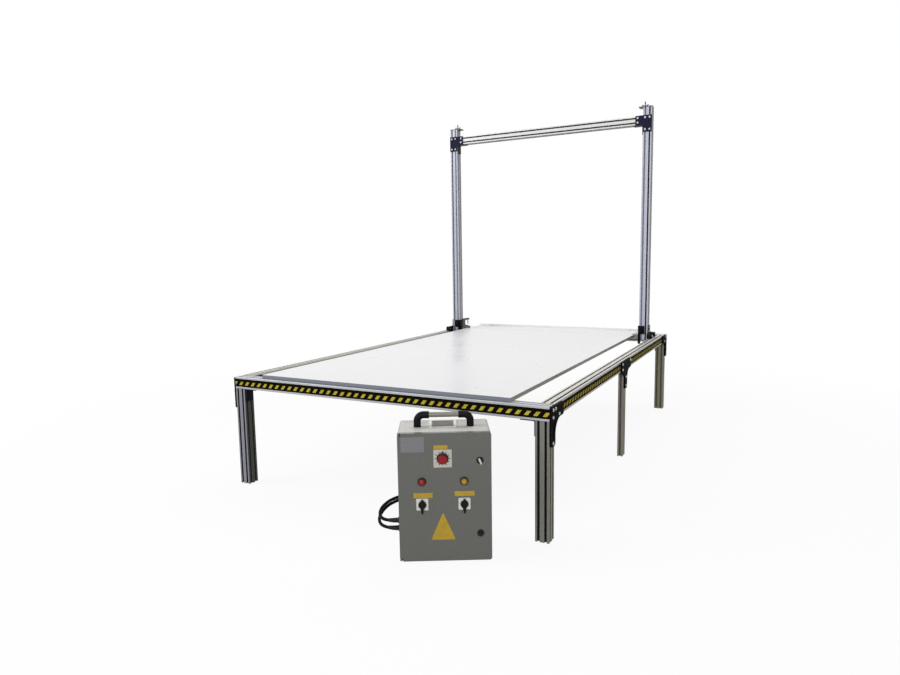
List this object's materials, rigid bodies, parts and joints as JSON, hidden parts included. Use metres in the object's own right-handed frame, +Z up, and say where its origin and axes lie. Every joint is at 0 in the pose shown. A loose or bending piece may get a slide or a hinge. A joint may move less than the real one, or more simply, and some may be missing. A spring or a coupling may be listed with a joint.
{
  "type": "hot wire cutter",
  "caption": "Foam cutting table of slotted profile with a rolling gantry that carries a heated wire on height-adjustable carriers, and a separate control cabinet.",
  "frame": {"origin": "centre of the machine's bounding box on the floor, measured without the free cords", "axes": "+Z up, +Y from the front beam to the rear beam along the gantry's travel, +X to the right when facing the front beam"},
  "size_m": [1.709, 3.0158, 2.187],
  "materials": {
    "profile": "anodised, satin",
    "board": "smooth laminate",
    "stop": "satin",
    "casting": "black powder coat",
    "bolt": "zinc plated",
    "angle": "black powder coat",
    "tape": "yellow and black hazard stripes",
    "cap_steel": "blackened plate with a bright stud",
    "carriage": "black powder coat",
    "axle": "zinc plated",
    "roller": "hard black plastic",
    "key": "sliding plastic",
    "carrier": "black powder coat",
    "knob": "black moulded",
    "post": "bent and drilled",
    "spring": "spring steel",
    "pulley": "turned",
    "insulator": "ribbed insulating plastic with a brass terminal",
    "wire": "resistance wire",
    "cabinet": "mid grey powder coat",
    "hinge": "coated like the housing",
    "handle": "black elbows and a grey grip tube",
    "vent": "light grey with dark slots",
    "foot": "moulded",
    "fittings": "light plates and dark blocks",
    "lamp": "clear lens, red on the left and amber on the right",
    "dial": "red cap on a black skirt",
    "switch_knob": "black moulded",
    "lock": "bright wing",
    "round_lock": "black insert",
    "core": "varnished laminations and taped winding",
    "gland": "grey nylon",
    "cord": "black sheath",
    "plug": "black moulded with plated pins",
    "connector": "black with a metal ring"
  },
  "bodies": {
    "table": {"front_beam": "profile", "rear_beam": "profile", "left_rail": "profile", "right_rail": "profile", "front_left_leg": "profile", "front_right_leg": "profile", "rear_left_leg": "profile", "rear_right_leg": "profile", "middle_leg": "profile", "board_bearers": "profile", "work_board": "board", "rear_stop": "stop", "side_brackets": "casting", "frame_bolts": "bolt", "inner_brackets": "angle", "hazard_tape": "tape", "cabinet_shell": "cabinet", "door_hinges": "hinge", "cabinet_handle": "handle", "top_vent": "vent", "cabinet_feet": "foot", "transformer": "core", "cable_glands": "gland", "mains_cord": "cord", "mains_coil": "cord", "mains_plug": "plug", "wire_cord": "cord", "wire_coil": "cord", "wire_connector": "connector"},
    "gantry": {"left_upright": "profile", "right_upright": "profile", "crossbar": "profile", "joint_plates": "carriage", "crossbar_brackets": "angle", "upright_caps": "cap_steel", "carriage_plates": "carriage", "roller_axles": "axle", "guide_keys": "key", "gantry_bolts": "bolt"},
    "front_left_wheel": {"front_left_roller": "roller"},
    "rear_left_wheel": {"rear_left_roller": "roller"},
    "front_right_wheel": {"front_right_roller": "roller"},
    "rear_right_wheel": {"rear_right_roller": "roller"},
    "left_wire_carrier": {"left_carrier": "carrier", "wire_post": "post", "tension_spring": "spring", "hot_wire": "wire"},
    "right_wire_carrier": {"right_carrier": "carrier", "wire_insulator": "insulator"},
    "left_clamp_knob": {"left_star_knob": "knob"},
    "right_clamp_knob": {"right_star_knob": "knob"},
    "pulley": {"guide_pulley": "pulley"},
    "door": {"cabinet_door": "cabinet", "panel_fittings": "fittings", "signal_lamps": "lamp"},
    "dial": {"dial_knob": "dial"},
    "left_switch": {"left_switch_knob": "switch_knob"},
    "right_switch": {"right_switch_knob": "switch_knob"},
    "upper_lock_core": {"upper_lock": "lock"},
    "lower_lock_core": {"lower_lock": "round_lock"}
  },
  "joints": [
    {"name": "gantry_slide", "type": "slide", "parent": "table", "child": "gantry", "axis": [0, 1, 0], "range_m": [-2.1, 0.1]},
    {"name": "front_left_wheel_spin", "type": "hinge", "parent": "gantry", "child": "front_left_wheel", "pos_m": [-0.793, 1.128, 0.5783], "axis": [1, 0, 0], "continuous": true},
    {"name": "rear_left_wheel_spin", "type": "hinge", "parent": "gantry", "child": "rear_left_wheel", "pos_m": [-0.793, 1.243, 0.5783], "axis": [1, 0, 0], "continuous": true},
    {"name": "front_right_wheel_spin", "type": "hinge", "parent": "gantry", "child": "front_right_wheel", "pos_m": [0.793, 1.163, 0.5783], "axis": [1, 0, 0], "continuous": true},
    {"name": "rear_right_wheel_spin", "type": "hinge", "parent": "gantry", "child": "rear_right_wheel", "pos_m": [0.793, 1.278, 0.5783], "axis": [1, 0, 0], "continuous": true},
    {"name": "left_carrier_slide", "type": "slide", "parent": "gantry", "child": "left_wire_carrier", "axis": [0, 0, 1], "range_m": [0, 1.3]},
    {"name": "right_carrier_slide", "type": "slide", "parent": "gantry", "child": "right_wire_carrier", "axis": [0, 0, 1], "range_m": [0, 1.3]},
    {"name": "left_knob_turn", "type": "hinge", "parent": "left_wire_carrier", "child": "left_clamp_knob", "pos_m": [-0.728, 1.168, 0.622], "axis": [0, -1, 0], "range_deg": [0, 360]},
    {"name": "right_knob_turn", "type": "hinge", "parent": "right_wire_carrier", "child": "right_clamp_knob", "pos_m": [0.728, 1.168, 0.622], "axis": [0, -1, 0], "range_deg": [0, 360]},
    {"name": "pulley_spin", "type": "hinge", "parent": "left_wire_carrier", "child": "pulley", "pos_m": [-0.637, 1.183, 0.593], "axis": [0, 1, 0], "continuous": true},
    {"name": "door_hinge", "type": "hinge", "parent": "table", "child": "door", "pos_m": [0.38462, -1.49541, 0.25], "axis": [0, 0, 1], "range_deg": [-110, 0]},
    {"name": "dial_turn", "type": "hinge", "parent": "door", "child": "dial", "pos_m": [0.5363, -1.43077, 0.403], "axis": [0.4848, -0.8746, 0], "range_deg": [-150, 150]},
    {"name": "left_switch_turn", "type": "hinge", "parent": "door", "child": "left_switch", "pos_m": [0.46721, -1.46907, 0.227], "axis": [0.4848, -0.8746, 0], "range_deg": [0, 90]},
    {"name": "right_switch_turn", "type": "hinge", "parent": "door", "child": "right_switch", "pos_m": [0.6054, -1.39247, 0.227], "axis": [0.4848, -0.8746, 0], "range_deg": [0, 90]},
    {"name": "upper_lock_turn", "type": "hinge", "parent": "door", "child": "upper_lock_core", "pos_m": [0.65787, -1.36338, 0.393], "axis": [0.4848, -0.8746, 0], "range_deg": [0, 90]},
    {"name": "lower_lock_turn", "type": "hinge", "parent": "door", "child": "lower_lock_core", "pos_m": [0.65787, -1.36338, 0.11], "axis": [0.4848, -0.8746, 0], "range_deg": [0, 90]}
  ],
  "couplings": [
    {"joint": "front_left_wheel_spin", "follows": "gantry_slide", "rad_per_m": -55.556},
    {"joint": "rear_left_wheel_spin", "follows": "gantry_slide", "rad_per_m": -55.556},
    {"joint": "front_right_wheel_spin", "follows": "gantry_slide", "rad_per_m": -55.556},
    {"joint": "rear_right_wheel_spin", "follows": "gantry_slide", "rad_per_m": -55.556},
    {"joint": "right_carrier_slide", "follows": "left_carrier_slide", "ratio": 1}
  ]
}
